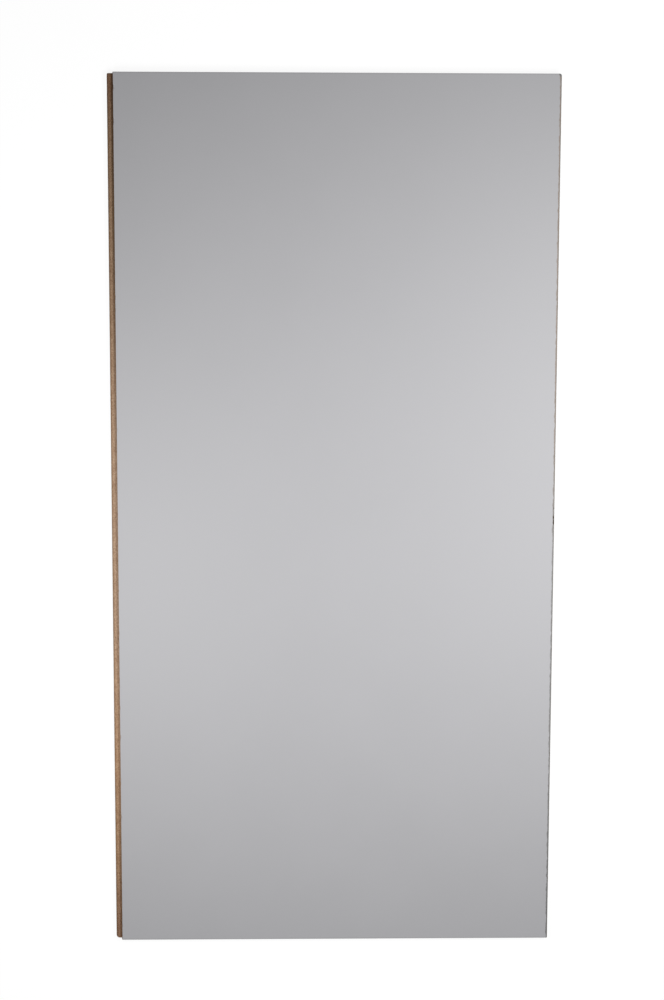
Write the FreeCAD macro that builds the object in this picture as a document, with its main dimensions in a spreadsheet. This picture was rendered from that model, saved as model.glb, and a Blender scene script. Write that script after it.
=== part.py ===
"""Tongue-and-groove fibreboard wall panel, faced on one side and machined from one board.

Frame, in millimetres: the panel lies flat with its faced side up, +Z. X runs across the
panel, from the tongue at -X to the groove at +X, and Y runs along it. The origin is the
middle of the whole outline, tongue included, on the underside. The long edges are milled
from end to end. The tongue is trimmed back at both ends, and its corners there are
rounded in plan, the one at -Y more than the one at +Y.
"""

import FreeCAD
import Part
import os
import Sketcher

NODE = "wall_panel"

# Driving sizes: alias, millimetres, what it is.
DRIVING = [
    ("cover_width", 600.0, "width of the face that shows once panels are fitted"),
    ("panel_length", 1200.0, "length of the panel"),
    ("thickness", 12.0, "board thickness, facing included"),
    ("tongue_reach", 8.0, "how far the tongue stands out of its edge"),
    ("tongue_thick", 4.0, "thickness of the tongue"),
    ("tongue_drop", 4.0, "from the faced side down to the tongue"),
    ("tongue_trim", 1.6, "tongue cut back at each end of the panel"),
    ("nose_round", 0.8, "radius round the tongue's free edges"),
    ("head_round", 1.8, "radius in plan of the tongue's corner at +Y"),
    ("foot_round", 4.5, "radius in plan of the tongue's corner at -Y"),
    ("side_play", 0.2, "clearance each side of a tongue in the groove"),
    ("nose_play", 0.6, "clearance between a tongue's nose and the groove's root"),
    ("mouth_lead", 0.4, "chamfer on both lips of the groove's mouth"),
    ("face_bevel", 0.7, "bevel where each long edge meets the faced side"),
    ("board_round", 1.0, "radius in plan of the board's four corners"),
]

# Sizes that follow from the ones above: alias, formula, what it is.
DERIVED = [
    ("overall_width", "cover_width + tongue_reach", "width with the tongue"),
    ("groove_edge", "overall_width / 2", "X of the edge that holds the groove"),
    ("shoulder", "groove_edge - cover_width", "X of the edge that the tongue leaves"),
    ("nose", "-groove_edge", "X of the tongue's nose"),
    ("end", "panel_length / 2", "Y of the panel's end at +Y"),
    ("tongue_end", "end - tongue_trim", "Y of the tongue's end at +Y"),
    ("tongue_top", "thickness - tongue_drop", "Z of the tongue's upper side"),
    ("tongue_base", "tongue_top - tongue_thick", "Z of the tongue's lower side"),
    ("groove_top", "tongue_top + side_play", "Z of the groove's upper side"),
    ("groove_base", "tongue_base - side_play", "Z of the groove's lower side"),
    ("groove_root", "groove_edge - tongue_reach - nose_play", "X of the groove's root"),
]

NEAR = 1e-4  # how closely, in mm, an edge has to lie where it is looked for


def make_sheet(doc):
    """The spreadsheet that holds every size, one in each row."""
    sheet = doc.addObject("Spreadsheet::Sheet", "Size")
    driving = [(alias, "%g" % value, meaning) for alias, value, meaning in DRIVING]
    derived = [(alias, "=" + formula, meaning) for alias, formula, meaning in DERIVED]
    for row, (alias, content, meaning) in enumerate(driving + derived, start=1):
        sheet.set("A%d" % row, meaning)
        sheet.setAlias("B%d" % row, alias)
        sheet.set("B%d" % row, content)
        doc.recompute()
    return sheet


def new_sketch(body, name, role):
    """An empty sketch on one of the body's own origin planes."""
    planes = [part for part in body.Origin.OriginFeatures if part.Role == role]
    sketch = body.newObject("Sketcher::SketchObject", name)
    sketch.AttachmentSupport = [(planes[0], "")]
    sketch.MapMode = "FlatFace"
    return sketch


def add_outline(sketch, corners):
    """A closed outline through the corners, each pinned by its pair of formulas."""
    first = sketch.GeometryCount
    count = len(corners)
    points = []
    for across, up in corners:
        x = float(sketch.evalExpression(across))
        y = float(sketch.evalExpression(up))
        points.append(FreeCAD.Vector(x, y, 0))
    for index, point in enumerate(points):
        sketch.addGeometry(Part.LineSegment(point, points[(index + 1) % count]), False)
    for index in range(count):
        edge = first + index
        next_edge = first + (index + 1) % count
        sketch.addConstraint(Sketcher.Constraint("Coincident", edge, 2, next_edge, 1))
    for index, (across, up) in enumerate(corners):
        pin_point(sketch, first + index, "DistanceX", points[index].x, across)
        pin_point(sketch, first + index, "DistanceY", points[index].y, up)


def pin_point(sketch, edge, kind, distance, formula):
    """Holds the start of an edge at a distance from the origin, given by a formula."""
    pin = Sketcher.Constraint(kind, -1, 1, edge, 1, distance)
    index = sketch.addConstraint(pin)
    sketch.setExpression("Constraints[%d]" % index, formula)


def add_pad(body, name, sketch, length):
    """A pad of the sketch, up from its plane."""
    pad = body.newObject("PartDesign::Pad", name)
    pad.Profile = sketch
    pad.setExpression("Length", length)
    body.Document.recompute()
    return pad


def add_mill_cut(body, name, sketch):
    """A cut of the sketch along the whole panel, like one pass of a cutter."""
    before = body.Shape.Volume
    cut = body.newObject("PartDesign::Pocket", name)
    cut.Profile = sketch
    cut.SideType = "Symmetric"
    cut.Type = "ThroughAll"
    body.Document.recompute()
    if body.Shape.Volume >= before:
        raise RuntimeError(name + " removed nothing")


def add_fillet(body, name, base, edges, radius):
    """A fillet of those edges of the base feature."""
    if not edges:
        raise RuntimeError(name + " found no edge")
    fillet = body.newObject("PartDesign::Fillet", name)
    fillet.Base = (base, edges)
    fillet.setExpression("Radius", radius)
    body.Document.recompute()
    return fillet


def edges_where(feature, test):
    """The names of the feature's edges whose two end points both pass the test."""
    names = []
    for number, edge in enumerate(feature.Shape.Edges, start=1):
        ends = [vertex.Point for vertex in edge.Vertexes]
        if len(ends) == 2 and all(test(point) for point in ends):
            names.append("Edge%d" % number)
    return names


def near(value, wanted):
    """Whether two lengths are the same."""
    return abs(value - wanted) < NEAR


def upright_edges(feature, x, y):
    """The names of the vertical edges at a place in plan."""
    return edges_where(feature, lambda point: near(point.x, x) and near(point.y, y))


def make_board(body, sheet):
    """The plain board, with its four corners just off square."""
    outline = new_sketch(body, "BoardOutline", "XY_Plane")
    corners = [
        ("Size.shoulder", "-Size.end"),
        ("Size.groove_edge", "-Size.end"),
        ("Size.groove_edge", "Size.end"),
        ("Size.shoulder", "Size.end"),
    ]
    add_outline(outline, corners)
    board = add_pad(body, "Board", outline, "Size.thickness")
    upright = []
    for x in (float(sheet.shoulder), float(sheet.groove_edge)):
        for y in (-float(sheet.end), float(sheet.end)):
            upright += upright_edges(board, x, y)
    add_fillet(body, "BoardCorners", board, upright, "Size.board_round")


def make_tongue(body, sheet):
    """The tongue, with its corners rounded in plan and its free edges eased."""
    outline = new_sketch(body, "TongueOutline", "XY_Plane")
    outline.setExpression("AttachmentOffset.Base.z", "Size.tongue_base")
    corners = [
        ("Size.nose", "-Size.tongue_end"),
        ("Size.shoulder", "-Size.tongue_end"),
        ("Size.shoulder", "Size.tongue_end"),
        ("Size.nose", "Size.tongue_end"),
    ]
    add_outline(outline, corners)
    body.Document.recompute()
    tongue = add_pad(body, "Tongue", outline, "Size.tongue_thick")
    nose = float(sheet.nose)
    tongue_end = float(sheet.tongue_end)
    head = upright_edges(tongue, nose, tongue_end)
    tongue = add_fillet(body, "TongueHead", tongue, head, "Size.head_round")
    foot = upright_edges(tongue, nose, -tongue_end)
    tongue = add_fillet(body, "TongueFoot", tongue, foot, "Size.foot_round")
    free = []
    for z in (float(sheet.tongue_base), float(sheet.tongue_top)):
        free += edges_where(tongue, lambda point: near(point.x, nose) and near(point.z, z))
    add_fillet(body, "TongueNose", tongue, free, "Size.nose_round")


def cut_groove(body):
    """The groove for the next panel's tongue, with a lead-in on both lips."""
    section = new_sketch(body, "GrooveSection", "XZ_Plane")
    mouth = "Size.groove_edge"
    lead = "Size.groove_edge - Size.mouth_lead"
    corners = [
        (mouth, "Size.groove_base - Size.mouth_lead"),
        (mouth, "Size.groove_top + Size.mouth_lead"),
        (lead, "Size.groove_top"),
        ("Size.groove_root", "Size.groove_top"),
        ("Size.groove_root", "Size.groove_base"),
        (lead, "Size.groove_base"),
    ]
    add_outline(section, corners)
    add_mill_cut(body, "Groove", section)


def cut_face_bevels(body):
    """The small bevel along both long edges of the faced side."""
    section = new_sketch(body, "BevelSection", "XZ_Plane")
    low = "Size.thickness - Size.face_bevel"
    high = "Size.thickness"
    tongue_side = [
        ("Size.shoulder", low),
        ("Size.shoulder + Size.face_bevel", high),
        ("Size.shoulder", high),
    ]
    groove_side = [
        ("Size.groove_edge", low),
        ("Size.groove_edge", high),
        ("Size.groove_edge - Size.face_bevel", high),
    ]
    add_outline(section, tongue_side)
    add_outline(section, groove_side)
    add_mill_cut(body, "FaceBevels", section)


def make_panel(doc, sheet):
    """The whole panel, one solid, as one body."""
    body = doc.addObject("PartDesign::Body", "WallPanel")
    body.Label = NODE
    body.Placement = FreeCAD.Placement()
    make_board(body, sheet)
    make_tongue(body, sheet)
    cut_groove(body)
    cut_face_bevels(body)
    return body


def check(doc, bodies):
    """Stops before anything is written if a feature or a body came out wrong."""
    for part in doc.Objects:
        if "Invalid" in part.State or "Error" in part.State:
            raise RuntimeError("%s failed: %s" % (part.Name, part.State))
    for body in bodies:
        if body.Shape.isNull() or not body.Shape.isValid():
            raise RuntimeError(body.Label + " has no valid shape")
        if len(body.Shape.Solids) != 1:
            raise RuntimeError(body.Label + " is not one solid")


def main():
    doc = FreeCAD.newDocument("WallPanel")
    sheet = make_sheet(doc)
    bodies = [make_panel(doc, sheet)]
    doc.recompute()
    check(doc, bodies)
    os.makedirs("parts", exist_ok=True)
    for body in bodies:
        body.Shape.exportStep("parts/" + body.Label + ".step")
        box = body.Shape.optimalBoundingBox(False, False)
        size = (box.XLength, box.YLength, box.ZLength)
        print("%s: %.2f x %.2f x %.2f mm" % ((body.Label,) + size))
        print("volume %.1f cm3" % (body.Shape.Volume / 1000))


main()
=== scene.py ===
"""Fibreboard wall panel with a satin grey facing film: the looks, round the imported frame.

Everything is in metres in the frame's own axes: the panel lies flat with its faced side
up, +Z, its tongue at -X and its groove at +X. Its head end is at +Y, its foot at -Y.
"""

import math
import random

import bmesh
import bpy
from bpy.props import FloatProperty, FloatVectorProperty, IntProperty, PointerProperty
from bpy.types import Operator, Panel, PropertyGroup
from mathutils import Matrix, Vector, noise


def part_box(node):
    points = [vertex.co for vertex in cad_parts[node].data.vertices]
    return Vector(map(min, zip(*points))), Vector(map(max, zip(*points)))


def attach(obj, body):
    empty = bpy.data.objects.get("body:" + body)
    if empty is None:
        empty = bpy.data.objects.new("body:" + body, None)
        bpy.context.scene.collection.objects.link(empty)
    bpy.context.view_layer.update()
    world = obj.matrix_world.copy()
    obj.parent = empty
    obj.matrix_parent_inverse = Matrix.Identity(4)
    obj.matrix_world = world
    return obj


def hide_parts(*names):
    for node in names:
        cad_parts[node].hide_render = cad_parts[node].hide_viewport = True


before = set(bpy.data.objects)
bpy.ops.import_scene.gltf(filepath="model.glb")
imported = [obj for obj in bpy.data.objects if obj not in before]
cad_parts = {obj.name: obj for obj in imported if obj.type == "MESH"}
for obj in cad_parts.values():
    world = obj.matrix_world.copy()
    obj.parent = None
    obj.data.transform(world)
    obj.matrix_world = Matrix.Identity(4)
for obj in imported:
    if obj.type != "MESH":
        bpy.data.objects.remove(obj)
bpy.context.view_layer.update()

bl_info = {
    "name": "Fibreboard wall panel",
    "version": (1, 0, 0),
    "blender": (4, 5, 0),
    "location": "View3D > Sidebar > Wall panel",
    "description": "Builds a film-faced tongue-and-groove fibreboard wall panel",
    "category": "Object",
}

NODE = "wall_panel"
BODY = "root"
LOW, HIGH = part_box(NODE)
MM = 0.001

# Places nearer to each other than this count as one.
SAME_PLACE = 0.01 * MM

# Shares of the unwrapped board's map: each end's strip, and the end face inside it.
END_STRIP = 0.04
END_FACE = 0.035

# The kinds of surface round the board's section, which are also its material slots.
FILM, MILLED, BACK = range(3)

# The long edges, as the film's cut line tells them apart.
TONGUE_SIDE, GROOVE_SIDE = 1, 2

# Bits of bark in the bevel of the groove edge: middle, half length and half width.
BARK_BITS = [
    (0.6 * MM, 2.7 * MM, 1.25 * MM),
    (-5.7 * MM, 4.2 * MM, 1.10 * MM),
    (13.3 * MM, 1.1 * MM, 0.60 * MM),
]

# The soft lamps: name, place, size across and along, radiance.
LAMPS = [
    ("left_softbox", Vector((-0.429, -0.157, 0.900)), (0.200, 0.515), 16.2),
    ("right_softbox", Vector((0.545, 0.055, 0.988)), (0.333, 0.933), 10.8),
]
CAMERA_PLACE = (-0.0642, 0.3917, 2.7674)
CAMERA_TURN_DEGREES = (-7.585, -1.272, 0.159)

BLACK = (0.0, 0.0, 0.0, 1.0)
WHITE = (1.0, 1.0, 1.0, 1.0)

# What bare fibre's colour is multiplied by at the panel's tips, and towards its foot.
TIP_TINT = (0.60, 0.38, 0.34, 1.0)
FOOT_TINT = (1.0, 0.93, 0.84, 1.0)

# The share of the film's colour that its cut edge and its pores keep.
FILM_DIM = 0.8

# How much bare fibre and bark shine: hardly at all.
DRY_SHEEN = 0.15


# ---------------------------------------------------------------- settings


def length(name, default, description):
    """A size in metres."""
    return FloatProperty(name=name, default=default, unit="LENGTH", description=description)


def colour(name, default, description):
    """A colour that the user can pick."""
    return FloatVectorProperty(
        name=name, default=default, subtype="COLOR", min=0, max=1, description=description)


class PanelShape(PropertyGroup):
    """Sizes of the milled edges, which follow the machining of the board."""

    tongue_reach: length("Tongue reach", 8 * MM, "How far the tongue stands out of its edge")
    tongue_thick: length("Tongue thickness", 4 * MM, "Thickness of the tongue")
    tongue_drop: length("Tongue drop", 4 * MM, "From the faced side down to the tongue")
    tongue_trim: length("Tongue trim", 1.6 * MM, "How much shorter the tongue is at each end")
    nose_round: length("Nose radius", 0.8 * MM, "Radius round the tongue's free edges")
    head_round: length("Head corner", 1.8 * MM, "Radius in plan of the tongue's corner at +Y")
    foot_round: length("Foot corner", 4.5 * MM, "Radius in plan of the tongue's corner at -Y")
    side_play: length("Side play", 0.2 * MM, "Clearance each side of a tongue in the groove")
    nose_play: length(
        "Nose play", 0.6 * MM,
        "Clearance between a tongue's nose and the groove's root")
    mouth_lead: length("Mouth chamfer", 0.4 * MM, "Chamfer on both lips of the groove's mouth")
    face_bevel: length("Face bevel", 0.7 * MM, "Bevel where each long edge meets the faced side")
    board_round: length("Board corner", 1 * MM, "Radius in plan of the board's four corners")
    worn_round: length(
        "Worn corner", 3.0 * MM,
        "Radius in plan of the knocked corner at the groove edge and +Y")
    station_gap: length(
        "Station gap", 1.7 * MM,
        "Distance along the panel from one section of the mesh to the next")


class PanelFinish(PropertyGroup):
    """Colours and textures of the film and of the bare fibreboard."""

    film_colour: colour("Film", (0.402, 0.400, 0.414), "Colour of the facing film")
    film_roughness: FloatProperty(
        name="Film roughness", default=0.516, min=0, max=1,
        description="How dull the film's satin is")
    board_colour: colour("Fibreboard", (0.402, 0.262, 0.171), "Middle colour of the bare fibre")
    pale_colour: colour("Pale fibre", (0.580, 0.432, 0.312), "Colour of the palest fibres")
    dark_colour: colour("Dark fibre", (0.236, 0.136, 0.081), "Colour of the darkest fibres")
    fleck_colour: colour(
        "Flecks", (0.085, 0.050, 0.030),
        "Colour of the dark flecks of bark ground up with the fibre")
    bark_colour: colour(
        "Bark", (0.036, 0.026, 0.018), "Colour of the bits of bark pressed into the board")
    # The colours of the painted shade in the groove edge's corner, near +Y and near -Y.
    head_edge_shade: colour(
        "Edge dirt, head", (0.200, 0.146, 0.104),
        "Colour rubbed into the groove edge's corner near the +Y end")
    foot_edge_shade: colour(
        "Edge dirt, foot", (0.130, 0.127, 0.121),
        "Colour rubbed into the groove edge's corner near the -Y end")
    relief: length(
        "Milled relief", 0.10 * MM,
        "How deep the cutter leaves hollows between the fibres")
    rag: length("Film rag", 0.12 * MM, "How far the film's cut line wanders into the face")
    chips: IntProperty(
        name="Film chips", default=26, min=0,
        description="Small chips along each long edge of the film")
    fibre_density: FloatProperty(
        name="Loose fibres", default=60000.0, min=0,
        description="Loose fibres on a square metre of milled surface")
    seed: IntProperty(
        name="Seed", default=7,
        description="Fixes every random choice")


class StageSetup(PropertyGroup):
    """Floor, lamps and camera."""

    floor_size: length("Floor size", 8.0, "Length of each side of the floor")
    surround: FloatProperty(
        name="Surround", default=0.118, min=0,
        description="Strength of the soft light from all round")
    lens: FloatProperty(
        name="Lens", default=73.0, unit="CAMERA",
        description="Focal length of the camera in millimetres")


# ---------------------------------------------------------------- section


def runs(legs, end):
    """Evenly spaced points along straight legs, each (start, steps, surface), end left out."""
    starts = [leg[0] for leg in legs]
    points = []
    for (start, steps, surface), following in zip(legs, starts[1:] + [end]):
        for step in range(steps):
            share = step / steps
            x = start[0] + (following[0] - start[0]) * share
            z = start[1] + (following[1] - start[1]) * share
            points.append((x, z, surface))
    return points


def arc(centre, radius, begin, finish, steps, surface):
    """Points along an arc, its last left out, with angles in degrees from +X to +Z."""
    points = []
    for step in range(steps):
        angle = math.radians(begin + (finish - begin) * step / steps)
        x = centre[0] + radius * math.cos(angle)
        z = centre[1] + radius * math.sin(angle)
        points.append((x, z, surface))
    return points


def board_section(shape):
    """The section, clockwise from the film's tongue side, and where its tongue starts and ends."""
    groove_edge = HIGH.x
    nose = LOW.x
    shoulder = nose + shape.tongue_reach
    top, base = HIGH.z, LOW.z
    bevel = shape.face_bevel
    tongue_top = top - shape.tongue_drop
    tongue_base = tongue_top - shape.tongue_thick
    groove_top = tongue_top + shape.side_play
    groove_base = tongue_base - shape.side_play
    root = groove_edge - shape.tongue_reach - shape.nose_play
    lead = groove_edge - shape.mouth_lead
    upper_lip = groove_top + shape.mouth_lead
    lower_lip = groove_base - shape.mouth_lead
    corner = shape.nose_round
    margin = 3 * MM
    film_left = shoulder + bevel
    film_right = groove_edge - bevel

    board = runs([
        ((film_left, top), 2, FILM),
        ((film_left + margin, top), 8, FILM),
        ((film_right - margin, top), 2, FILM),
        ((film_right, top), 2, MILLED),
        ((groove_edge, top - bevel), 3, MILLED),
        ((groove_edge, upper_lip), 1, MILLED),
        ((lead, groove_top), 6, MILLED),
        ((root, groove_top), 4, MILLED),
        ((root, groove_base), 6, MILLED),
        ((lead, groove_base), 1, MILLED),
        ((groove_edge, lower_lip), 4, MILLED),
        ((groove_edge, base), 2, BACK),
        ((groove_edge - margin, base), 8, BACK),
        ((shoulder + margin, base), 2, BACK),
        ((shoulder, base), 4, MILLED),
    ], (shoulder, tongue_base))
    low_centre = (nose + corner, tongue_base + corner)
    high_centre = (nose + corner, tongue_top - corner)
    tongue = runs([((shoulder, tongue_base), 6, MILLED)], (nose + corner, tongue_base))
    tongue += arc(low_centre, corner, 270, 180, 4, MILLED)
    tongue += runs([((nose, low_centre[1]), 3, MILLED)], (nose, high_centre[1]))
    tongue += arc(high_centre, corner, 180, 90, 4, MILLED)
    tongue += runs([((nose + corner, tongue_top), 7, MILLED)], (shoulder, tongue_top))
    rebate = runs([
        ((shoulder, tongue_top), 3, MILLED),
        ((shoulder, top - bevel), 2, MILLED),
    ], (film_left, top))
    return board + tongue + rebate, len(board), len(board) + len(tongue)


def stations(shape):
    """Every Y at which the section is repeated, closer together round the corners."""
    end = HIGH.y
    tongue_end = end - shape.tongue_trim
    places = {LOW.y, end, -tongue_end, tongue_end}
    rounds = [
        (1, end, shape.board_round, 4),
        (-1, end, shape.board_round, 4),
        (1, end, shape.worn_round, 6),
        (1, tongue_end, shape.head_round, 6),
        (-1, tongue_end, shape.foot_round, 9),
        (1, tongue_end, shape.nose_round, 4),
        (-1, tongue_end, shape.nose_round, 4),
    ]
    for side, limit, radius, steps in rounds:
        for step in range(steps):
            turn = math.radians(90 * step / steps)
            places.add(side * (limit - radius + radius * math.sin(turn)))
    start = -(tongue_end - shape.foot_round)
    stop = tongue_end - shape.head_round
    count = round((stop - start) / shape.station_gap)
    for step in range(1, count):
        places.add(start + (stop - start) * step / count)
    ordered = sorted(places)
    kept = [ordered[0]]
    for place in ordered[1:]:
        if place - kept[-1] > SAME_PLACE:
            kept.append(place)
    return kept


def set_back(distance, radius):
    """How far a rounded corner has drawn in, at this distance short of its end."""
    if distance >= radius:
        return 0.0
    return radius - math.sqrt(max(radius * radius - (radius - distance) ** 2, 0.0))


def film_line(finish, side, places):
    """How far the film's cut line lies inside its edge at each station: rag and chips."""
    shortest, longest = 1.0, 4.5
    shallowest, deepest = 0.15, 0.7
    fine_pace, slow_pace = 900, 190
    dice = random.Random(finish.seed * 10 + side)
    chips = []
    for _ in range(finish.chips):
        centre = LOW.y + (HIGH.y - LOW.y) * dice.random()
        half = dice.uniform(shortest, longest) * MM
        chips.append((centre, half, dice.uniform(shallowest, deepest) * MM))
    if side == GROOVE_SIDE:
        chips += [(middle, half * 1.15, width * 1.25) for middle, half, width in BARK_BITS]
    line = []
    for y in places:
        fine = noise.noise(Vector((y * fine_pace, side * 3.7, 1.3)))
        slow = noise.noise(Vector((y * slow_pace, side * 9.1, 4.2)))
        depth = finish.rag * max(0.0, 0.45 + 0.6 * fine + 0.5 * slow)
        for centre, half, deep in chips:
            share = abs(y - centre) / half
            if share < 1:
                depth = max(depth, deep * (1 - share * share))
        line.append(depth)
    return line


# ---------------------------------------------------------------- board mesh


def board_row(shape, section, first, last, y):
    """The section's points at a station, drawn in at its corners: None past the tongue's end."""
    shoulder = LOW.x + shape.tongue_reach
    half = shape.tongue_thick / 2
    middle = HIGH.z - shape.tongue_drop - half
    flat = shape.tongue_reach - shape.nose_round
    corner = set_back(HIGH.y - abs(y), shape.board_round)
    worn = set_back(HIGH.y - y, shape.worn_round)
    short = HIGH.y - shape.tongue_trim - abs(y)
    in_plan = set_back(short, shape.head_round if y > 0 else shape.foot_round)
    eased = set_back(short, shape.nose_round)
    tongue_here = short >= -SAME_PLACE
    points = []
    for column, (x, z, _) in enumerate(section):
        on_tongue = first < column < last
        if first <= column <= last and tongue_here:
            z = middle + (z - middle) * (half - eased) / half
        if on_tongue:
            x += in_plan * min(1.0, (shoulder - x) / flat)
        elif x < 0:
            x = max(x, shoulder + corner)
        else:
            x = min(x, HIGH.x - max(corner, worn))
        points.append(None if on_tongue and not tongue_here else (x, z))
    return points


def board_grid(mesh, shape, finish, section, first, last, places):
    """The board's points, a row for each station, with bare fibre marked raw."""
    raw = mesh.verts.layers.float.new("raw")
    film_end = max(index for index, point in enumerate(section) if point[2] == FILM) + 1
    left_line = film_line(finish, TONGUE_SIDE, places)
    right_line = film_line(finish, GROOVE_SIDE, places)
    grid = []
    for y, left, right in zip(places, left_line, right_line):
        drawn_in = {0: left, 1: left / 2, film_end - 1: -right / 2, film_end: -right}
        row = []
        for column, point in enumerate(board_row(shape, section, first, last, y)):
            if point is None:
                row.append(None)
                continue
            vert = mesh.verts.new((point[0] + drawn_in.get(column, 0.0), y, point[1]))
            bare = section[column][2] == MILLED and column != film_end
            vert[raw] = 1.0 if bare else 0.0
            row.append(vert)
        grid.append(row)
    return grid


def board_mesh(shape, finish):
    """The whole board as one closed mesh, with what each face and point is made of."""
    section, first, last = board_section(shape)
    places = stations(shape)
    tongue_end = HIGH.y - shape.tongue_trim
    fuzz_end = HIGH.y - 4 * MM
    mesh = bmesh.new()
    grid = board_grid(mesh, shape, finish, section, first, last, places)
    fuzz = mesh.faces.layers.float.new("fuzz")
    unwrapped = mesh.loops.layers.uv.new("OFBake")
    inner = fuzzy_columns(section)
    across = unrolled(section)
    for here, there in zip(grid, grid[1:]):
        for column, (_, _, surface) in enumerate(section):
            following = (column + 1) % len(section)
            corners = [here[column], here[following], there[following], there[column]]
            if None in corners:
                continue
            face = mesh.faces.new(corners)
            face.material_index = surface
            loose = column in inner and abs(here[0].co.y) < fuzz_end
            face[fuzz] = 1.0 if loose else 0.0
            unwrap_band(face, unwrapped, across[column], across[column + 1])
        if here[first + 1] is None or there[first + 1] is None:
            face = mesh.faces.new([here[first], here[last], there[last], there[first]])
            face.material_index = MILLED
            unwrap_band(face, unwrapped, across[first], across[last])
    for row, place in enumerate(places):
        if abs(abs(place) - tongue_end) < SAME_PLACE:
            close_end(mesh, grid[row][first:last + 1], place > 0, unwrapped)
    for row in (0, -1):
        ring = [vert for vert in grid[row] if vert is not None]
        close_end(mesh, ring, row == -1, unwrapped)
    return mesh


def unrolled(section):
    """Where each column falls across the unwrapped board: milled edges get the most room."""
    room = {FILM: 1.0, MILLED: 3.0, BACK: 0.35}
    places = [0.0]
    for index, (x, z, surface) in enumerate(section):
        following = section[(index + 1) % len(section)]
        width = math.hypot(following[0] - x, following[1] - z)
        places.append(places[-1] + width * room[surface])
    return [place / places[-1] for place in places]


def unwrap_band(face, unwrapped, start, end):
    """Lays a face of the section out flat, with the panel's length up the map."""
    for index, loop in enumerate(face.loops):
        share = (loop.vert.co.y - LOW.y) / (HIGH.y - LOW.y)
        up = END_STRIP + (1 - 2 * END_STRIP) * share
        loop[unwrapped].uv = (start if index in (0, 3) else end, up)


def close_end(mesh, ring, far, unwrapped):
    """The flat face over an end: the ring runs clockwise seen from -Y."""
    face = mesh.faces.new(list(reversed(ring)) if far else ring)
    face.material_index = MILLED
    for loop in face.loops:
        across = (loop.vert.co.x - LOW.x) / (HIGH.x - LOW.x)
        up = (loop.vert.co.z - LOW.z) / (HIGH.z - LOW.z)
        loop[unwrapped].uv = (across, END_FACE * up + (1 - END_FACE if far else 0.0))


def fuzzy_columns(section):
    """Bands of the section deep enough inside the outline to carry loose fibres."""
    clear = 2 * MM
    inner = set()
    for column, (x, z, surface) in enumerate(section):
        following = section[(column + 1) % len(section)]
        across = (min(x, following[0]), max(x, following[0]))
        heights = (min(z, following[1]), max(z, following[1]))
        inside = LOW.x + clear < across[0] and across[1] < HIGH.x - clear
        between = LOW.z + clear < heights[0] and heights[1] < HIGH.z - clear
        if surface == MILLED and inside and between:
            inner.add(column)
    return inner


def mesh_object(name, mesh):
    """A new object in the scene from a bmesh, which is used up."""
    data = bpy.data.meshes.new(name)
    mesh.to_mesh(data)
    mesh.free()
    made = bpy.data.objects.new(name, data)
    bpy.context.scene.collection.objects.link(made)
    return made


# ---------------------------------------------------------------- node helpers


def add(tree, kind, settings=None, **inputs):
    """A node, with settings as its attributes and with its inputs filled."""
    made = tree.nodes.new(kind)
    for name, value in (settings or {}).items():
        setattr(made, name, value)
    fill(tree, made, **inputs)
    return made


def fill(tree, made, **inputs):
    """Links or sets a node's inputs by name, where _ stands for a space."""
    for name, value in inputs.items():
        put(tree, value, socket(made.inputs, name))


def socket(sockets, name):
    """The socket in use with this name, where _ stands for a space, or this index."""
    if isinstance(name, int):
        return sockets[name]
    wanted = name.replace("_", " ")
    for one in sockets:
        if one.enabled and one.name == wanted:
            return one
    raise KeyError("no socket named " + wanted)


def put(tree, value, target):
    """Links an output to the target, or sets the target to a plain value."""
    if isinstance(value, bpy.types.NodeSocket):
        tree.links.new(value, target)
    else:
        target.default_value = value


def put_all(tree, made, values):
    """Links or sets a node's first inputs, in order, and gives its first output."""
    for target, value in zip(made.inputs, values):
        put(tree, value, target)
    return made.outputs[0]


def out(made, name=0):
    """An output of a node by name or index."""
    return socket(made.outputs, name)


def maths(tree, operation, first, second=0.0, clamp=False):
    """The output of a Math node."""
    made = add(tree, "ShaderNodeMath", {"operation": operation, "use_clamp": clamp})
    return put_all(tree, made, (first, second))


def times(tree, first, second):
    """The product of two values."""
    return maths(tree, "MULTIPLY", first, second)


def vector_maths(tree, operation, first, second):
    """The output of a Vector Math node that works on two vectors."""
    made = add(tree, "ShaderNodeVectorMath", {"operation": operation})
    return put_all(tree, made, (first, second))


def span(tree, value, low, high, to_low=0.0, to_high=1.0, smooth=False):
    """The output of a clamped Map Range node."""
    form = "SMOOTHSTEP" if smooth else "LINEAR"
    made = add(tree, "ShaderNodeMapRange", {"interpolation_type": form})
    return put_all(tree, made, (value, low, high, to_low, to_high))


def blend(tree, factor, first, second, mode="MIX"):
    """The colour output of a Mix node."""
    made = add(tree, "ShaderNodeMix", {"data_type": "RGBA", "blend_type": mode},
               Factor=factor, A=first, B=second)
    return out(made, "Result")


def mottle(tree, place, scale, detail, roughness=0.5):
    """The value of a Noise texture, with so many patches to a metre."""
    return out(add(tree, "ShaderNodeTexNoise", Vector=place, Scale=scale, Detail=detail,
                   Roughness=roughness))


def parts(tree, vector):
    """The X, Y and Z of a vector."""
    return add(tree, "ShaderNodeSeparateXYZ", Vector=vector).outputs


def magnitude(tree, vector):
    """How long a vector is."""
    return out(add(tree, "ShaderNodeVectorMath", {"operation": "LENGTH"}, Vector=vector), "Value")


def rgba(channels, share=1.0):
    """A share of a colour, with full opacity."""
    return (*(min(1.0, channel * share) for channel in channels), 1.0)


def new_group(name, kind, inputs, outputs):
    """An empty node group with its sockets, each (name, socket type, default)."""
    tree = bpy.data.node_groups.new(name, kind)
    for label, form, default in inputs:
        made = tree.interface.new_socket(label, in_out="INPUT", socket_type="NodeSocket" + form)
        if default is not None:
            made.default_value = default
    for label, form in outputs:
        tree.interface.new_socket(label, in_out="OUTPUT", socket_type="NodeSocket" + form)
    return tree, tree.nodes.new("NodeGroupInput"), tree.nodes.new("NodeGroupOutput")


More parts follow.
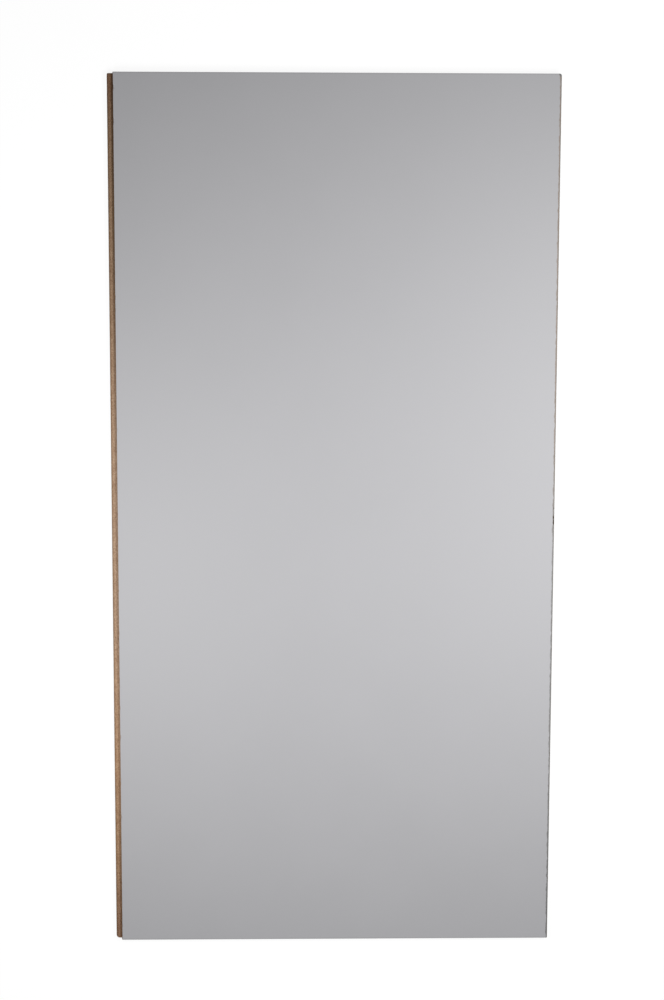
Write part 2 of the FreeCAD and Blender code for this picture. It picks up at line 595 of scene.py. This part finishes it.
def use_group(tree, name, **inputs):
    """A shader group placed in a tree: built when it is first asked for, and shared after."""
    made = tree.nodes.new("ShaderNodeGroup")
    made.node_tree = bpy.data.node_groups.get(name) or SHADER_GROUPS[name](name)
    fill(tree, made, **inputs)
    return made


def emptied(owner):
    """The node tree of a material or world, with nothing in it."""
    owner.use_nodes = True
    owner.node_tree.nodes.clear()
    return owner.node_tree


def show(tree, shader, kind="ShaderNodeOutputMaterial"):
    """Makes a shader the one that is seen."""
    tree.links.new(shader, tree.nodes.new(kind).inputs[0])


def new_material(name):
    """A material holding a Principled BSDF, with the tree and the shader."""
    made = bpy.data.materials.new(name)
    tree = emptied(made)
    shader = tree.nodes.new("ShaderNodeBsdfPrincipled")
    show(tree, shader.outputs[0])
    return made, tree, shader


def object_place(tree):
    """Object coordinates."""
    return tree.nodes.new("ShaderNodeTexCoord").outputs["Object"]


def bumped(tree, shader, height, distance, strength=1.0):
    """Feeds a height to the shader's normal."""
    bump = add(tree, "ShaderNodeBump", Height=height, Distance=distance, Strength=strength)
    tree.links.new(bump.outputs[0], shader.inputs["Normal"])


# ---------------------------------------------------------------- shader groups


def fibre_group(name):
    """Matted wood fibre: a tone drawn out along the strands, threads, flecks, and height."""
    tree, given, gives = new_group(
        name, "ShaderNodeTree",
        [("Vector", "Vector", None),
         ("Strand", "Float", 1.2 * MM),
         ("Stretch", "Float", 2.0),
         ("Flecks", "Float", 0.2)],
        [("Tone", "Float"), ("Dark", "Float"),
         ("Pale", "Float"), ("Height", "Float")])
    place = given.outputs["Vector"]
    per_strand = maths(tree, "DIVIDE", 1.0, given.outputs["Strand"])
    along = maths(tree, "DIVIDE", 1.0, given.outputs["Stretch"])
    grain = add(tree, "ShaderNodeCombineXYZ", X=1.0, Y=along, Z=1.6)
    drawn = vector_maths(tree, "MULTIPLY", place, out(grain))
    warp = add(tree, "ShaderNodeTexNoise", Vector=place, Scale=400.0, Detail=4.0)
    warp_by = add(tree, "ShaderNodeVectorMath", {"operation": "SCALE"},
                  Vector=out(warp, "Color"), Scale=1.4 * MM)
    bent = vector_maths(tree, "ADD", drawn, out(warp_by))

    # The tone: mostly strands, some broad patches, and single threads across them.
    strands = mottle(tree, bent, per_strand, 8.0, 0.66)
    patches = mottle(tree, drawn, times(tree, per_strand, 0.22), 3.0, 0.55)
    pale_thread = threads(tree, place, 0.30, 1.0)
    dark_thread = threads(tree, place, -0.36, 1.27)
    thread = times(tree, maths(tree, "SUBTRACT", pale_thread, dark_thread), 0.30)
    strand_share = 0.78
    both = maths(tree, "ADD", times(tree, strands, strand_share),
                 times(tree, patches, 1 - strand_share))
    tone = maths(tree, "ADD", span(tree, both, 0.32, 0.68), thread, clamp=True)

    # The flecks: one ragged spot in some of the cells, mostly small, some dark and some pale.
    cells = add(tree, "ShaderNodeTexVoronoi", Vector=bent, Randomness=1.0,
                Scale=times(tree, per_strand, 0.6))
    dark_pick, pale_pick, size_pick = add(
        tree, "ShaderNodeSeparateColor", Color=out(cells, "Color")).outputs
    size = span(tree, maths(tree, "POWER", size_pick, 3.0), 0.0, 1.0, 0.07, 0.30)
    ragged = times(tree, maths(tree, "SUBTRACT", strands, 0.5), 0.5)
    edge = maths(tree, "SUBTRACT", maths(tree, "ADD", out(cells, "Distance"), ragged), size)
    spot = span(tree, edge, -0.03, 0.03, 1.0, 0.0, smooth=True)
    dark_here = maths(tree, "LESS_THAN", dark_pick, given.outputs["Flecks"])
    pale_here = maths(tree, "LESS_THAN", pale_pick, given.outputs["Flecks"])
    dark = times(tree, spot, dark_here)
    pale = maths(tree, "SUBTRACT", times(tree, spot, pale_here), dark, clamp=True)

    # The height: strands, with the threads standing up and the dark flecks sunk.
    raised = maths(tree, "ADD", strands, times(tree, thread, 0.6))
    height = maths(tree, "SUBTRACT", raised, times(tree, dark, 0.3))
    fill(tree, gives, Tone=tone, Dark=dark, Pale=pale, Height=height)
    return tree


def threads(tree, place, slant, fineness):
    """Single fibres a few millimetres long, lying mostly along Y but turned by the slant."""
    x, y, z = parts(tree, place)
    lean = times(tree, y, slant)
    leaning = add(tree, "ShaderNodeCombineXYZ", X=maths(tree, "ADD", x, lean),
                  Y=times(tree, y, 0.16), Z=maths(tree, "ADD", z, times(tree, lean, 0.7)))
    lines = add(tree, "ShaderNodeTexNoise", Vector=out(leaning), Scale=1900.0 * fineness,
                Detail=2.0, Roughness=0.6, Distortion=0.3)
    away = maths(tree, "ABSOLUTE", maths(tree, "SUBTRACT", out(lines), 0.5))
    return span(tree, away, 0.012, 0.045, 1.0, 0.0, smooth=True)


def saw_group(name):
    """The saw's marks on both ends, with their shade, and the cutter's ripple on the edges."""
    ripple_pitch = 1.4 * MM
    ripple_height = 0.03
    darkest = 0.16
    tree, given, gives = new_group(
        name, "ShaderNodeTree",
        [("Vector", "Vector", None),
         ("Pitch", "Float", 1.6 * MM)],
        [("Height", "Float"), ("Shade", "Float")])
    x, y, z = parts(tree, given.outputs["Vector"])
    on_end = maths(tree, "GREATER_THAN", maths(tree, "ABSOLUTE", y), HIGH.y - 0.05 * MM)
    line = add(tree, "ShaderNodeCombineXYZ", X=maths(tree, "ADD", x, times(tree, z, 0.12)),
               Z=times(tree, z, 0.03))
    per_mark = maths(tree, "DIVIDE", 1.0, given.outputs["Pitch"])
    marks = mottle(tree, out(line), per_mark, 3.0, 0.6)
    sawn = times(tree, marks, on_end)
    turn = times(tree, y, 2 * math.pi / ripple_pitch)
    ripple = times(tree, maths(tree, "SINE", turn), ripple_height)
    milled = times(tree, ripple, maths(tree, "SUBTRACT", 1.0, on_end))
    height = maths(tree, "ADD", sawn, milled)
    darker = times(tree, span(tree, marks, 0.35, 0.65), on_end)
    shade = maths(tree, "SUBTRACT", 1.0, times(tree, darker, darkest))
    fill(tree, gives, Height=height, Shade=shade)
    return tree


def end_darkening_group(name):
    """How much darker bare fibre is drawn towards the panel's ends, the head end most."""
    head_start, foot_start, tip_start = 0.0, -0.28, 0.50
    wander = 0.10
    tree, given, gives = new_group(
        name, "ShaderNodeTree",
        [("Vector", "Vector", None),
         ("Head", "Float", 0.5),
         ("Foot", "Float", 0.3)],
        [("Shade", "Float"), ("Tip", "Float")])
    place = given.outputs["Vector"]
    _, y, _ = parts(tree, place)
    drift = times(tree, maths(tree, "SUBTRACT", mottle(tree, place, 14.0, 3.0), 0.5), wander)
    along = maths(tree, "ADD", y, drift)
    head = span(tree, along, head_start, HIGH.y, smooth=True)
    foot = span(tree, along, foot_start, LOW.y - wander / 2, smooth=True)
    total = maths(tree, "ADD", times(tree, head, given.outputs["Head"]),
                  times(tree, foot, given.outputs["Foot"]))
    shade = maths(tree, "SUBTRACT", 1.0, total, clamp=True)
    tip = span(tree, maths(tree, "ABSOLUTE", along), tip_start, HIGH.y, smooth=True)
    fill(tree, gives, Shade=shade, Tip=tip)
    return tree


def edge_shading_group(name):
    """Painted shade along the groove edge's corner: a dark band, darkest at its knocked corner."""
    knock_core, knock_end = 2.6 * MM, 5 * MM
    grey_start, grey_end = 0.17, -0.08
    deep_start, deepest = -0.3, 0.45
    knock_deep = 0.6
    tree, given, gives = new_group(
        name, "ShaderNodeTree",
        [("Vector", "Vector", None),
         ("Reach", "Float", 1.4 * MM)],
        [("Mask", "Float"), ("Foot", "Float"), ("Deep", "Float")])
    place = given.outputs["Vector"]
    x, y, z = parts(tree, place)
    inward = maths(tree, "SUBTRACT", HIGH.x, x)
    down = maths(tree, "SUBTRACT", HIGH.z, z)

    # The knocked corner at +Y gets the painted shade round its curve.
    from_corner = add(tree, "ShaderNodeCombineXYZ", X=inward,
                      Y=maths(tree, "SUBTRACT", HIGH.y, y))
    knocked = span(tree, magnitude(tree, out(from_corner)), knock_core, knock_end,
                   1.0, 0.0, smooth=True)

    # Elsewhere the painted shade follows the edge, in patches, and is gone below the bevel.
    patchy = mottle(tree, place, 90.0, 5.0, 0.65)
    reach = times(tree, span(tree, patchy, 0.3, 0.7, 0.6, 1.4), given.outputs["Reach"])
    beside = span(tree, inward, times(tree, reach, 0.55), reach, 1.0, 0.0, smooth=True)
    near = maths(tree, "MAXIMUM", beside, knocked)
    high = span(tree, down, 0.6 * MM, 1.3 * MM, 1.0, 0.0, smooth=True)
    speckle = mottle(tree, place, 1500.0, 5.0, 0.7)
    broken = span(tree, speckle, 0.35, 0.65, 1.0, 0.78)
    mask = times(tree, times(tree, near, high), broken)

    # It turns from brown to grey towards the foot, and is deepest there and at the knock.
    grey = span(tree, y, grey_start, grey_end, smooth=True)
    deep = span(tree, y, deep_start, LOW.y, 0.0, deepest, smooth=True)
    fill(tree, gives, Mask=mask, Foot=maths(tree, "MAXIMUM", grey, knocked),
         Deep=maths(tree, "MAXIMUM", deep, times(tree, knocked, knock_deep)))
    return tree


SHADER_GROUPS = {
    "Wood fibre": fibre_group,
    "Saw marks": saw_group,
    "End darkening": end_darkening_group,
    "Edge grime": edge_shading_group,
}


def edge_shade_colour(tree, shading, finish):
    """The colour of the painted shade at the groove edge: brown towards the head, grey towards the
    foot and deepest at its end.
    """
    shadowing = blend(tree, shading.outputs["Foot"], rgba(finish.head_edge_shade), rgba(finish.foot_edge_shade))
    return blend(tree, shading.outputs["Deep"], shadowing, BLACK)


# ---------------------------------------------------------------- materials


def film_material(finish):
    """Satin grey facing film: an even print with a faint cloud, and a fine orange peel."""
    made, tree, shader = new_material("satin_film")
    place = object_place(tree)
    cloud = mottle(tree, place, 7.0, 4.0, 0.6)
    pores = mottle(tree, place, 1400.0, 2.0)
    even = blend(tree, span(tree, cloud, 0.35, 0.65), rgba(finish.film_colour, 0.98),
                 rgba(finish.film_colour))
    dim = rgba(finish.film_colour, FILM_DIM)
    grained = blend(tree, span(tree, pores, 0.3, 0.7, 0.0, 0.035), even, dim)

    # It is darker in the last millimetres at both ends, and has painted shade along the groove
    # edge.
    end_start, end_full, end_dark = HIGH.y - 2.4 * MM, HIGH.y - 0.8 * MM, 0.6
    _, y, _ = parts(tree, place)
    at_end = span(tree, maths(tree, "ABSOLUTE", y), end_start, end_full, 0.0, end_dark,
                  smooth=True)
    unbanded = blend(tree, at_end, grained, dim)
    shading = use_group(tree, "Edge grime", Vector=place, Reach=2.9 * MM)
    banded = blend(tree, times(tree, shading.outputs["Mask"], 0.95), unbanded,
                   edge_shade_colour(tree, shading, finish))
    spread = 0.02
    dull = span(tree, cloud, 0.3, 0.7, finish.film_roughness - spread,
                finish.film_roughness + spread)
    fill(tree, shader, Base_Color=banded, Roughness=dull)
    bumped(tree, shader, mottle(tree, place, 420.0, 3.0), 0.02 * MM, 0.5)
    return made


def board_material(finish, name, strand, stretch, flecks, head, foot, roughness, relief):
    """Bare wood fibre, milled or sanded, darker in its pressed skins and towards its ends, with
    painted shade on the tongue and at the groove edge.
    """
    made, tree, shader = new_material(name)
    place = object_place(tree)
    _, y, z = parts(tree, place)
    fibre = use_group(tree, "Wood fibre", Vector=place, Strand=strand, Stretch=stretch,
                      Flecks=flecks)
    darkened_ends = use_group(tree, "End darkening", Vector=place, Head=head, Foot=foot)
    saw = use_group(tree, "Saw marks", Vector=place)

    # Clean fibre, with its flecks.
    tone = fibre.outputs["Tone"]
    lower = blend(tree, span(tree, tone, 0.0, 0.5), rgba(finish.dark_colour),
                  rgba(finish.board_colour))
    body = blend(tree, span(tree, tone, 0.5, 1.0), lower, rgba(finish.pale_colour))
    flecked = blend(tree, times(tree, fibre.outputs["Dark"], 0.85), body,
                    rgba(finish.fleck_colour))
    fresh = blend(tree, times(tree, fibre.outputs["Pale"], 0.7), flecked,
                  rgba(finish.pale_colour))

    # It is darker and browner at both tips, and warmer in the foot half.
    warm_start, warm_end = -0.1, -0.4
    tipped = times(tree, darkened_ends.outputs["Tip"], head)
    toned = blend(tree, tipped, fresh, TIP_TINT, "MULTIPLY")
    warm = times(tree, span(tree, y, warm_start, warm_end, smooth=True),
                 maths(tree, "SUBTRACT", 1.0, darkened_ends.outputs["Tip"]))
    toned = blend(tree, warm, toned, FOOT_TINT, "MULTIPLY")

    # Pressed skins, the darkening towards the ends, the saw and painted shade at the tongue's root
    # and nose darken it, and blue most.
    skin_start, skin_end, skin_shade = 2.5 * MM, 6 * MM, 0.8
    middle = (HIGH.z + LOW.z) / 2
    skin = maths(tree, "ABSOLUTE", maths(tree, "SUBTRACT", z, middle))
    pressed = span(tree, skin, skin_start, skin_end, 1.0, skin_shade)
    shade = times(tree, darkened_ends.outputs["Shade"], pressed)
    shade = times(tree, shade, saw.outputs["Shade"])
    # Painted shade on the tongue's root and nose.
    shade = times(tree, shade, tongue_shade(tree, place, darkened_ends.outputs["Shade"]))
    tone_and_shade = add(tree, "ShaderNodeCombineColor", Red=shade,
                 Green=maths(tree, "POWER", shade, 1.12), Blue=maths(tree, "POWER", shade, 1.35))
    shaded = blend(tree, 1.0, toned, out(tone_and_shade), "MULTIPLY")

    # Painted shade in the groove edge's corner, and the film's own edge at the very top.
    shading = use_group(tree, "Edge grime", Vector=place, Reach=2.5 * MM)
    shadowing = blend(tree, 0.5, edge_shade_colour(tree, shading, finish), BLACK)
    banded = blend(tree, times(tree, shading.outputs["Mask"], 0.9), shaded, shadowing)
    film_base, film_clear = HIGH.z - 0.17 * MM, HIGH.z - 0.12 * MM
    film = span(tree, z, film_base, film_clear)
    final = blend(tree, times(tree, film, 0.8), banded, rgba(finish.film_colour, FILM_DIM))
    dull = span(tree, tone, 0.0, 1.0, roughness, roughness + 0.1)
    fill(tree, shader, Base_Color=final, Roughness=dull, Specular_IOR_Level=DRY_SHEEN)
    marked = times(tree, saw.outputs["Height"], 0.5)
    bumped(tree, shader, maths(tree, "ADD", fibre.outputs["Height"], marked), relief)
    return made


def tongue_shade(tree, place, darkened_ends):
    """Painted shade on the tongue: darker at its root by the shoulder, most towards the panel's
    ends, and along its nose; the root is painted lighter in the middle of the length.
    """
    nose_start, nose_end, nose_shade = 0.8 * MM, 3.4 * MM, 0.70
    root_start, root_end = 4.6 * MM, 7.4 * MM
    end_root_shade, middle_root_light = 0.64, 1.10
    board_start, board_clear = 8.3 * MM, 9 * MM
    x, _, _ = parts(tree, place)
    beyond = maths(tree, "SUBTRACT", x, LOW.x)
    nose = span(tree, beyond, nose_start, nose_end, nose_shade, 1.0, smooth=True)
    root_painted_shade = span(tree, darkened_ends, 0.6, 1.0, end_root_shade, middle_root_light)
    root = span(tree, beyond, root_start, root_end, 1.0, root_painted_shade, smooth=True)
    inside = span(tree, beyond, board_start, board_clear)
    return maths(tree, "MAXIMUM", times(tree, nose, root), inside)


def bark_material(finish):
    """The bits of bark at the groove edge: almost black, split along their length."""
    made, tree, shader = new_material("bark")
    fibre = use_group(tree, "Wood fibre", Vector=object_place(tree), Strand=0.5 * MM,
                      Stretch=5.0, Flecks=0.3)
    tone = fibre.outputs["Tone"]
    tint = blend(tree, tone, rgba(finish.bark_colour), rgba(finish.bark_colour, 2.0))
    dull = span(tree, tone, 0.0, 1.0, 0.7, 0.9)
    fill(tree, shader, Base_Color=tint, Roughness=dull, Specular_IOR_Level=DRY_SHEEN)
    bumped(tree, shader, fibre.outputs["Height"], 0.15 * MM)
    return made


def floor_material():
    """Pale studio floor: white to look at, and a plain matt surface to the light."""
    pale, shadow_only = 0.8, 0.12
    near, far, near_glow = 0.9, 2.2, 0.92
    made = bpy.data.materials.new("pale_floor")
    tree = emptied(made)
    lit = add(tree, "ShaderNodeBsdfDiffuse", Color=rgba(WHITE[:3], pale))
    shadowed = add(tree, "ShaderNodeBsdfDiffuse", Color=rgba(WHITE[:3], shadow_only))
    away = magnitude(tree, object_place(tree))
    glow = span(tree, away, near, far, near_glow, 1.0, smooth=True)
    light = add(tree, "ShaderNodeEmission", Color=WHITE, Strength=glow)
    shown = put_all(tree, add(tree, "ShaderNodeAddShader"), (out(shadowed), out(light)))
    show(tree, by_ray(tree, out(lit), shown))
    return made


def by_ray(tree, to_light, to_look_at):
    """One shader for diffuse light, and one for the camera, for gloss and through glass."""
    path = tree.nodes.new("ShaderNodeLightPath")
    seen = path.outputs["Is Camera Ray"]
    for kind in ("Is Glossy Ray", "Is Transmission Ray"):
        seen = maths(tree, "MAXIMUM", seen, path.outputs[kind])
    return put_all(tree, add(tree, "ShaderNodeMixShader"), (seen, to_light, to_look_at))


# ---------------------------------------------------------------- geometry node trees


def relief_tree():
    """Sinks bare fibre by a noise, then gives each surface its material."""
    tree, given, gives = new_group(
        "Milled relief", "GeometryNodeTree",
        [("Geometry", "Geometry", None),
         ("Depth", "Float", 0.1 * MM),
         ("Grain", "Float", 500.0),
         ("Seed", "Int", 1),
         ("Film", "Material", None),
         ("Milled", "Material", None),
         ("Back", "Material", None)],
        [("Geometry", "Geometry")])
    raw = add(tree, "GeometryNodeInputNamedAttribute", {"data_type": "FLOAT"}, Name="raw")
    place = add(tree, "GeometryNodeInputPosition")
    drawn = vector_maths(tree, "MULTIPLY", out(place), (1.0, 0.5, 1.0))
    shift = add(tree, "ShaderNodeCombineXYZ", X=given.outputs["Seed"])
    moved = vector_maths(tree, "ADD", drawn, out(shift))
    grain = mottle(tree, moved, given.outputs["Grain"], 3.0, 0.6)
    sunk = times(tree, span(tree, grain, 0.35, 0.7), given.outputs["Depth"])
    inward = times(tree, times(tree, sunk, out(raw, "Attribute")), -1.0)
    normal = add(tree, "GeometryNodeInputNormal")
    across = vector_maths(tree, "MULTIPLY", out(normal), (1.0, 0.0, 1.0))
    offset = add(tree, "ShaderNodeVectorMath", {"operation": "SCALE"}, Vector=across, Scale=inward)
    placed = add(tree, "GeometryNodeSetPosition", Geometry=given.outputs["Geometry"],
                 Offset=out(offset))
    whole = out(add(tree, "GeometryNodeRealizeInstances", Geometry=out(placed)))
    surface = add(tree, "GeometryNodeInputMaterialIndex")
    for index, label in enumerate(("Film", "Milled", "Back")):
        same = add(tree, "FunctionNodeCompare", {"data_type": "INT", "operation": "EQUAL"},
                   A=out(surface), B=index)
        painted = add(tree, "GeometryNodeSetMaterial", Geometry=whole, Selection=out(same),
                      Material=given.outputs[label])
        whole = out(painted)
    put(tree, whole, gives.inputs["Geometry"])
    return tree


def fibre_tree():
    """Short curled fibres standing out of the faces marked fuzz."""
    tree, given, gives = new_group(
        "Loose fibres", "GeometryNodeTree",
        [("Geometry", "Geometry", None),
         ("Density", "Float", 30000.0),
         ("Length", "Float", 1.0 * MM),
         ("Thickness", "Float", 0.03 * MM),
         ("Seed", "Int", 1),
         ("Material", "Material", None)],
        [("Geometry", "Geometry")])
    fuzz = add(tree, "GeometryNodeInputNamedAttribute", {"data_type": "FLOAT"}, Name="fuzz")
    chosen = add(tree, "FunctionNodeCompare", {"data_type": "FLOAT", "operation": "GREATER_THAN"},
                 A=out(fuzz, "Attribute"), B=0.5)
    points = add(tree, "GeometryNodeDistributePointsOnFaces", Mesh=given.outputs["Geometry"],
                 Selection=out(chosen), Density=given.outputs["Density"],
                 Seed=given.outputs["Seed"])
    hair = add(tree, "GeometryNodeCurveQuadraticBezier", Resolution=4,
               Start=(0, 0, 0), Middle=(0.15, 0, 0.5), End=(0.5, 0.1, 0.85))
    taper = add(tree, "GeometryNodeSplineParameter")
    thin = span(tree, out(taper, "Factor"), 0.0, 1.0, 1.0, 0.25)
    girth = maths(tree, "DIVIDE", given.outputs["Thickness"], given.outputs["Length"])
    ring = add(tree, "GeometryNodeCurvePrimitiveCircle", Resolution=3, Radius=girth)
    shaped = add(tree, "GeometryNodeSetCurveRadius", Curve=out(hair), Radius=thin)
    strand = add(tree, "GeometryNodeCurveToMesh", Curve=out(shaped), Profile_Curve=out(ring),
                 Fill_Caps=True)
    lean = add(tree, "FunctionNodeRandomValue", {"data_type": "FLOAT_VECTOR"},
               Min=(0.55, 0.0, 0.0), Max=(1.45, 0.0, 2 * math.pi), Seed=given.outputs["Seed"])
    upright = add(tree, "FunctionNodeAlignRotationToVector", {"axis": "Z"},
                  Vector=out(points, "Normal"))
    spin = add(tree, "FunctionNodeEulerToRotation", Euler=out(lean))
    turned = add(tree, "FunctionNodeRotateRotation", {"rotation_space": "LOCAL"},
                 Rotation=out(upright), Rotate_By=out(spin))
    size = add(tree, "FunctionNodeRandomValue", {"data_type": "FLOAT"}, Min=0.4, Max=1.0,
               Seed=given.outputs["Seed"])
    scale = times(tree, out(size), given.outputs["Length"])
    placed = add(tree, "GeometryNodeInstanceOnPoints", Points=out(points, "Points"),
                 Instance=out(strand), Rotation=out(turned), Scale=scale)
    whole = add(tree, "GeometryNodeRealizeInstances", Geometry=out(placed))
    painted = add(tree, "GeometryNodeSetMaterial", Geometry=out(whole),
                  Material=given.outputs["Material"])
    put(tree, out(painted), gives.inputs["Geometry"])
    return tree


def apply_tree(made, tree, **inputs):
    """Runs a geometry tree on an object and keeps only the mesh that it makes."""
    modifier = made.modifiers.new(tree.name, "NODES")
    modifier.node_group = tree
    for item in tree.interface.items_tree:
        if item.item_type == "SOCKET" and item.in_out == "INPUT" and item.name in inputs:
            modifier[item.identifier] = inputs[item.name]
    bpy.context.view_layer.update()
    graph = bpy.context.evaluated_depsgraph_get()
    data = bpy.data.meshes.new_from_object(made.evaluated_get(graph))
    if not data.polygons:
        raise RuntimeError(tree.name + " made nothing")
    made.modifiers.remove(modifier)
    data.name = made.data.name
    made.data = data
    return made


# ---------------------------------------------------------------- operators


def settle(piece):
    """Makes a finished piece ride on the panel's body."""
    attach(piece, BODY)


class WALLPANEL_OT_board(Operator):
    """Build the board: its faced side, milled edges and back"""

    bl_idname = "wall_panel.board"
    bl_label = "Board and facing"

    def execute(self, context):
        shape = context.scene.panel_shape
        finish = context.scene.panel_finish
        board = mesh_object("panel_board", board_mesh(shape, finish))
        milled = board_material(
            finish, "milled_fibreboard", strand=1.2 * MM, stretch=1.9, flecks=0.11,
            head=0.42, foot=0.26, roughness=0.74, relief=0.22 * MM)
        back = board_material(
            finish, "sanded_back", strand=1.0 * MM, stretch=1.2, flecks=0.12,
            head=0.1, foot=0.1, roughness=0.62, relief=0.05 * MM)
        film = film_material(finish)
        for material in (film, milled, back):
            board.data.materials.append(material)
        board = apply_tree(board, relief_tree(), Depth=finish.relief, Seed=finish.seed,
                           Film=film, Milled=milled, Back=back)
        board.data.set_sharp_from_angle(angle=math.radians(32))
        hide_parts(NODE)
        settle(board)
        return {"FINISHED"}


class WALLPANEL_OT_fibres(Operator):
    """Raise the loose fibres that the cutters leave in the tongue's root and the groove"""

    bl_idname = "wall_panel.fibres"
    bl_label = "Loose fibres"

    def execute(self, context):
        finish = context.scene.panel_finish
        board = bpy.data.objects["panel_board"]
        fibres = bpy.data.objects.new("loose_fibres", board.data.copy())
        context.scene.collection.objects.link(fibres)
        milled = bpy.data.materials["milled_fibreboard"]
        apply_tree(fibres, fibre_tree(), Density=finish.fibre_density, Seed=finish.seed,
                   Material=milled)
        settle(fibres)
        return {"FINISHED"}


class WALLPANEL_OT_bark(Operator):
    """Lodge the bits of bark in the bevel of the groove edge"""

    bl_idname = "wall_panel.bark"
    bl_label = "Bark in the edge"

    def execute(self, context):
        finish = context.scene.panel_finish
        bark = mesh_object("edge_bark", bark_mesh(finish))
        bark.data.materials.append(bark_material(finish))
        bark.data.set_sharp_from_angle(angle=math.radians(50))
        settle(bark)
        return {"FINISHED"}


def bark_mesh(finish):
    """Ragged splinters that lie in the chipped bevel, inside the edge and the face."""
    mesh = bmesh.new()
    for middle, half, width in BARK_BITS:
        heart = Vector((HIGH.x - width * 1.02, middle, HIGH.z - width * 0.62))
        lumps_at = Vector((middle * 900, finish.seed, 0))
        splits_at = Vector((0, middle * 900, finish.seed))
        ball = bmesh.ops.create_uvsphere(mesh, u_segments=24, v_segments=40, radius=1.0)
        for vert in ball["verts"]:
            x, y, z = vert.co
            place = Vector((x * 1.3, y * 1.3, z * 1.7))
            blunt = math.sqrt(1 + z ** 2)
            rough = 1 + 0.34 * noise.noise(place + lumps_at)
            rough += 0.16 * noise.noise(place * 4 + splits_at)
            across = Vector((x, 0, y * 0.7)) * width * blunt
            vert.co = heart + (across + Vector((0, z * half, 0))) * rough
            vert.co.x = min(vert.co.x, HIGH.x)
            vert.co.z = min(vert.co.z, HIGH.z)
    bmesh.ops.recalc_face_normals(mesh, faces=mesh.faces)
    return mesh


class WALLPANEL_OT_stage(Operator):
    """Set out the floor, the two soft lamps and the camera above the panel"""

    bl_idname = "wall_panel.stage"
    bl_label = "Stage"

    def execute(self, context):
        setup = context.scene.panel_stage
        make_floor(setup)
        make_surround(setup)
        for lamp in LAMPS:
            make_lamp(*lamp)
        make_camera(context, setup)
        return {"FINISHED"}


def make_floor(setup):
    """A flat floor just under the panel."""
    half = setup.floor_size / 2
    gap = 0.1 * MM
    level = LOW.z - gap
    mesh = bmesh.new()
    corners = [(-half, -half), (half, -half), (half, half), (-half, half)]
    mesh.faces.new([mesh.verts.new((x, y, level)) for x, y in corners])
    floor = mesh_object("floor", mesh)
    floor.data.materials.append(floor_material())


def make_surround(setup):
    """White all round to look at, and a weaker soft light on the panel."""
    world = bpy.data.worlds.new("surround")
    bpy.context.scene.world = world
    tree = emptied(world)
    dim = add(tree, "ShaderNodeBackground", Color=WHITE, Strength=setup.surround)
    white = add(tree, "ShaderNodeBackground", Color=WHITE, Strength=1.0)
    show(tree, by_ray(tree, out(dim), out(white)), "ShaderNodeOutputWorld")


def make_lamp(name, place, size, radiance):
    """A rectangular soft lamp aimed half-way in towards the panel's middle."""
    data = bpy.data.lights.new(name, "AREA")
    data.shape = "RECTANGLE"
    data.size, data.size_y = size
    data.energy = radiance * math.pi * size[0] * size[1]
    lamp = bpy.data.objects.new(name, data)
    bpy.context.scene.collection.objects.link(lamp)
    lamp.location = place
    back = (place - Vector((place.x * 0.5, place.y * 0.5, 0.0))).normalized()
    across = Vector((0.0, 1.0, 0.0)).cross(back).normalized()
    turn = Matrix((across, back.cross(across), back)).transposed()
    lamp.rotation_euler = turn.to_euler()
    lamp.visible_camera = False


def make_camera(context, setup):
    """Above the panel, a little towards its head end, looking almost straight down."""
    data = bpy.data.cameras.new("camera")
    data.lens = setup.lens
    camera = bpy.data.objects.new("camera", data)
    context.scene.collection.objects.link(camera)
    camera.location = CAMERA_PLACE
    camera.rotation_euler = [math.radians(angle) for angle in CAMERA_TURN_DEGREES]
    context.scene.camera = camera
    context.scene.view_settings.view_transform = "Standard"


# ---------------------------------------------------------------- add-on


class WALLPANEL_PT_sidebar(Panel):
    """Lists the panel's pieces and settings"""

    bl_label = "Wall panel"
    bl_idname = "WALLPANEL_PT_sidebar"
    bl_space_type = "VIEW_3D"
    bl_region_type = "UI"
    bl_category = "Wall panel"

    def draw(self, context):
        for operator in OPERATORS:
            self.layout.operator(operator.bl_idname)
        for holder, group in SETTINGS.items():
            box = self.layout.box()
            for name in group.__annotations__:
                box.prop(getattr(context.scene, holder), name)


OPERATORS = (WALLPANEL_OT_stage, WALLPANEL_OT_board, WALLPANEL_OT_fibres, WALLPANEL_OT_bark)
SETTINGS = {"panel_shape": PanelShape, "panel_finish": PanelFinish, "panel_stage": StageSetup}
CLASSES = (*SETTINGS.values(), *OPERATORS, WALLPANEL_PT_sidebar)


def register():
    """Makes the classes known, and hangs the settings on the scene."""
    for one in CLASSES:
        bpy.utils.register_class(one)
    for holder, group in SETTINGS.items():
        setattr(bpy.types.Scene, holder, PointerProperty(type=group))


def unregister():
    """Takes the settings and the classes away again."""
    for holder in SETTINGS:
        delattr(bpy.types.Scene, holder)
    for one in reversed(CLASSES):
        bpy.utils.unregister_class(one)


def main():
    """Builds the stage and the panel."""
    register()
    bpy.ops.wall_panel.stage()
    bpy.ops.wall_panel.board()
    bpy.ops.wall_panel.fibres()
    bpy.ops.wall_panel.bark()


if __name__ == "__main__":
    main()
